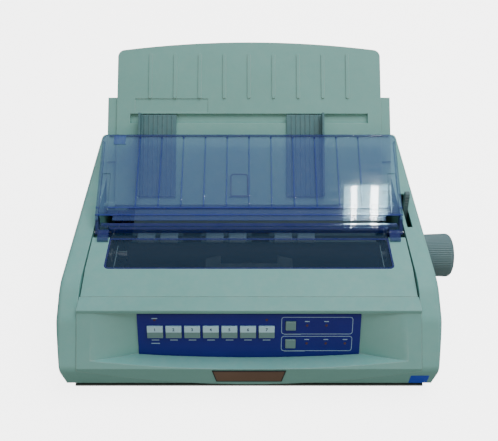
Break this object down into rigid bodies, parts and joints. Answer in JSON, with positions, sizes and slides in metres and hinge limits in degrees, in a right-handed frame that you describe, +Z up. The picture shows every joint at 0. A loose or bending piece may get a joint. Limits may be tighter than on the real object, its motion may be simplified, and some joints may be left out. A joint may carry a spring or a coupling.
{
  "type": "dot matrix printer",
  "caption": "Desktop impact printer with sloped case, scooped control panel, hinged access cover, clear exit flap, folding sheet guide and side platen knob.",
  "frame": {"origin": "middle of the printer seen from above, platen knob included, on the table under its feet", "axes": "+X to the right along the platen towards the knob, +Y to the back of the printer, +Z up"},
  "size_m": [0.4298, 0.3486, 0.2406],
  "materials": {
    "ivory_plastic": "fine-grained, semi-matt",
    "bezel_plastic": "fine-grained, semi-matt",
    "cover_plastic": "fine-grained, semi-matt",
    "guide_plastic": "fine-grained, semi-matt",
    "base_plastic": "matt",
    "blue_grey_plastic": "satin",
    "knob_plastic": "satin",
    "lever_plastic": "satin",
    "panel_blue": "satin film",
    "key_plastic": "satin",
    "light_lens": "clear lens",
    "clear_plastic": "clear, polished",
    "plate_bronze": "metallic film",
    "label_blue": "printed film, bare",
    "platen_rubber": "matt",
    "foot_rubber": "matt",
    "roller_rubber": "matt",
    "belt_rubber": "matt",
    "bright_steel": "ground",
    "frame_steel": "zinc plated",
    "motor_steel": "plated",
    "gear_plastic": "satin",
    "pinion_brass": "machined",
    "dark_plastic": "satin",
    "head_aluminium": "black cooling block",
    "board_green": "lacquered"
  },
  "bodies": {
    "case": {"base_case": "base_plastic", "rubber_feet": "foot_rubber", "case_screws": "bright_steel", "upper_case": "ivory_plastic", "front_bezel": "bezel_plastic", "control_panel": "panel_blue", "panel_lights": "light_lens", "panel_board": "board_green", "name_plate": "plate_bronze", "corner_label": "label_blue", "hinge_pins": "bright_steel", "side_frame_left": "frame_steel", "side_frame_right": "frame_steel", "front_rail": "bright_steel", "rear_rail": "bright_steel", "platen_bushes": "gear_plastic", "paper_pan": "frame_steel", "main_board": "board_green", "transformer": "motor_steel", "power_inlet": "dark_plastic", "parallel_port": "dark_plastic", "usb_port": "dark_plastic", "switch_housing": "dark_plastic", "feed_motor": "motor_steel", "carriage_motor": "motor_steel", "carriage_belt": "belt_rubber"},
    "cover": {"access_cover": "cover_plastic", "cover_window": "clear_plastic"},
    "flap": {"exit_flap": "clear_plastic"},
    "sheet_guide": {"sheet_guide_panel": "guide_plastic", "sheet_guide_frame": "guide_plastic"},
    "left_edge_guide": {"edge_guide_left": "blue_grey_plastic"},
    "right_edge_guide": {"edge_guide_right": "blue_grey_plastic"},
    "platen": {"platen_shaft": "bright_steel", "platen_rubber": "platen_rubber", "platen_gear": "gear_plastic", "platen_knob": "knob_plastic"},
    "idler": {"idler_gear": "gear_plastic"},
    "pinion": {"feed_pinion": "pinion_brass"},
    "bail": {"paper_bail": "bright_steel"},
    "rollers": {"bail_rollers": "roller_rubber"},
    "lever": {"paper_lever": "lever_plastic"},
    "head": {"carriage": "dark_plastic", "print_head": "head_aluminium", "ribbon_cartridge": "dark_plastic"},
    "ribbon_winder": {"ribbon_knob": "gear_plastic"},
    "drive_wheel": {"drive_pulley": "pinion_brass"},
    "idler_wheel": {"idler_pulley": "gear_plastic"},
    "rocker": {"power_switch": "dark_plastic"},
    "square_key_1": {"square_key_1": "key_plastic"},
    "square_key_2": {"square_key_2": "key_plastic"},
    "wide_key_1": {"wide_key_1": "key_plastic"},
    "wide_key_2": {"wide_key_2": "key_plastic"},
    "wide_key_3": {"wide_key_3": "key_plastic"},
    "wide_key_4": {"wide_key_4": "key_plastic"},
    "wide_key_5": {"wide_key_5": "key_plastic"},
    "wide_key_6": {"wide_key_6": "key_plastic"},
    "wide_key_7": {"wide_key_7": "key_plastic"}
  },
  "joints": [
    {"name": "cover_hinge", "type": "hinge", "parent": "case", "child": "cover", "pos_m": [-0.01595, -0.025, 0.096], "axis": [-1, 0, 0], "range_deg": [0, 60]},
    {"name": "flap_hinge", "type": "hinge", "parent": "case", "child": "flap", "pos_m": [-0.01595, -0.025, 0.096], "axis": [1, 0, 0], "range_deg": [0, 15]},
    {"name": "guide_hinge", "type": "hinge", "parent": "case", "child": "sheet_guide", "pos_m": [-0.01595, 0.03676, 0.08844], "axis": [-1, 0, 0], "range_deg": [0, 38]},
    {"name": "left_edge_slide", "type": "slide", "parent": "sheet_guide", "child": "left_edge_guide", "axis": [1, 0, 0], "range_m": [-0.018, 0.06]},
    {"name": "right_edge_slide", "type": "slide", "parent": "sheet_guide", "child": "right_edge_guide", "axis": [1, 0, 0], "range_m": [-0.042, 0.06]},
    {"name": "platen_spin", "type": "hinge", "parent": "case", "child": "platen", "pos_m": [-0.01595, -0.034, 0.07], "axis": [1, 0, 0], "continuous": true},
    {"name": "idler_spin", "type": "hinge", "parent": "case", "child": "idler", "pos_m": [-0.01595, -0.02844, 0.03849], "axis": [1, 0, 0], "continuous": true},
    {"name": "pinion_spin", "type": "hinge", "parent": "case", "child": "pinion", "pos_m": [-0.01595, -0.02532, 0.02076], "axis": [1, 0, 0], "continuous": true},
    {"name": "bail_hinge", "type": "hinge", "parent": "case", "child": "bail", "pos_m": [-0.01595, -0.014, 0.046], "axis": [-1, 0, 0], "range_deg": [0, 15]},
    {"name": "roller_spin", "type": "hinge", "parent": "bail", "child": "rollers", "pos_m": [-0.01595, -0.027, 0.09012], "axis": [1, 0, 0], "continuous": true},
    {"name": "lever_hinge", "type": "hinge", "parent": "case", "child": "lever", "pos_m": [0.16805, 0.005, 0.06], "axis": [1, 0, 0], "range_deg": [-24, 31]},
    {"name": "carriage_slide", "type": "slide", "parent": "case", "child": "head", "axis": [1, 0, 0], "range_m": [-0.1, 0.1]},
    {"name": "ribbon_winding", "type": "hinge", "parent": "head", "child": "ribbon_winder", "pos_m": [-0.04795, -0.0855, 0.0745], "axis": [0, 0, 1], "continuous": true},
    {"name": "drive_pulley_spin", "type": "hinge", "parent": "case", "child": "drive_wheel", "pos_m": [0.12005, -0.0855, 0.03], "axis": [0, 0, 1], "range_deg": [-720, 720]},
    {"name": "idler_pulley_spin", "type": "hinge", "parent": "case", "child": "idler_wheel", "pos_m": [-0.15195, -0.0855, 0.03], "axis": [0, 0, 1], "range_deg": [-720, 720]},
    {"name": "rocker_tilt", "type": "hinge", "parent": "case", "child": "rocker", "pos_m": [-0.12595, 0.1675, 0.0515], "axis": [1, 0, 0], "range_deg": [0, 16]},
    {"name": "square_key_1_press", "type": "slide", "parent": "case", "child": "square_key_1", "axis": [0, 0.9489, -0.3156], "range_m": [0, 0.001], "stiffness_N_per_m": 300, "springref_m": -0.0005},
    {"name": "square_key_2_press", "type": "slide", "parent": "case", "child": "square_key_2", "axis": [0, 0.9489, -0.3156], "range_m": [0, 0.001], "stiffness_N_per_m": 300, "springref_m": -0.0005},
    {"name": "wide_key_1_press", "type": "slide", "parent": "case", "child": "wide_key_1", "axis": [0, 0.9489, -0.3156], "range_m": [0, 0.001], "stiffness_N_per_m": 300, "springref_m": -0.0005},
    {"name": "wide_key_2_press", "type": "slide", "parent": "case", "child": "wide_key_2", "axis": [0, 0.9489, -0.3156], "range_m": [0, 0.001], "stiffness_N_per_m": 300, "springref_m": -0.0005},
    {"name": "wide_key_3_press", "type": "slide", "parent": "case", "child": "wide_key_3", "axis": [0, 0.9489, -0.3156], "range_m": [0, 0.001], "stiffness_N_per_m": 300, "springref_m": -0.0005},
    {"name": "wide_key_4_press", "type": "slide", "parent": "case", "child": "wide_key_4", "axis": [0, 0.9489, -0.3156], "range_m": [0, 0.001], "stiffness_N_per_m": 300, "springref_m": -0.0005},
    {"name": "wide_key_5_press", "type": "slide", "parent": "case", "child": "wide_key_5", "axis": [0, 0.9489, -0.3156], "range_m": [0, 0.001], "stiffness_N_per_m": 300, "springref_m": -0.0005},
    {"name": "wide_key_6_press", "type": "slide", "parent": "case", "child": "wide_key_6", "axis": [0, 0.9489, -0.3156], "range_m": [0, 0.001], "stiffness_N_per_m": 300, "springref_m": -0.0005},
    {"name": "wide_key_7_press", "type": "slide", "parent": "case", "child": "wide_key_7", "axis": [0, 0.9489, -0.3156], "range_m": [0, 0.001], "stiffness_N_per_m": 300, "springref_m": -0.0005}
  ],
  "couplings": [
    {"joint": "idler_spin", "follows": "platen_spin", "ratio": -1.6667},
    {"joint": "pinion_spin", "follows": "platen_spin", "ratio": 3.3333},
    {"joint": "roller_spin", "follows": "platen_spin", "ratio": -2.5},
    {"joint": "drive_pulley_spin", "follows": "carriage_slide", "rad_per_m": 125},
    {"joint": "idler_pulley_spin", "follows": "carriage_slide", "rad_per_m": 125}
  ]
}
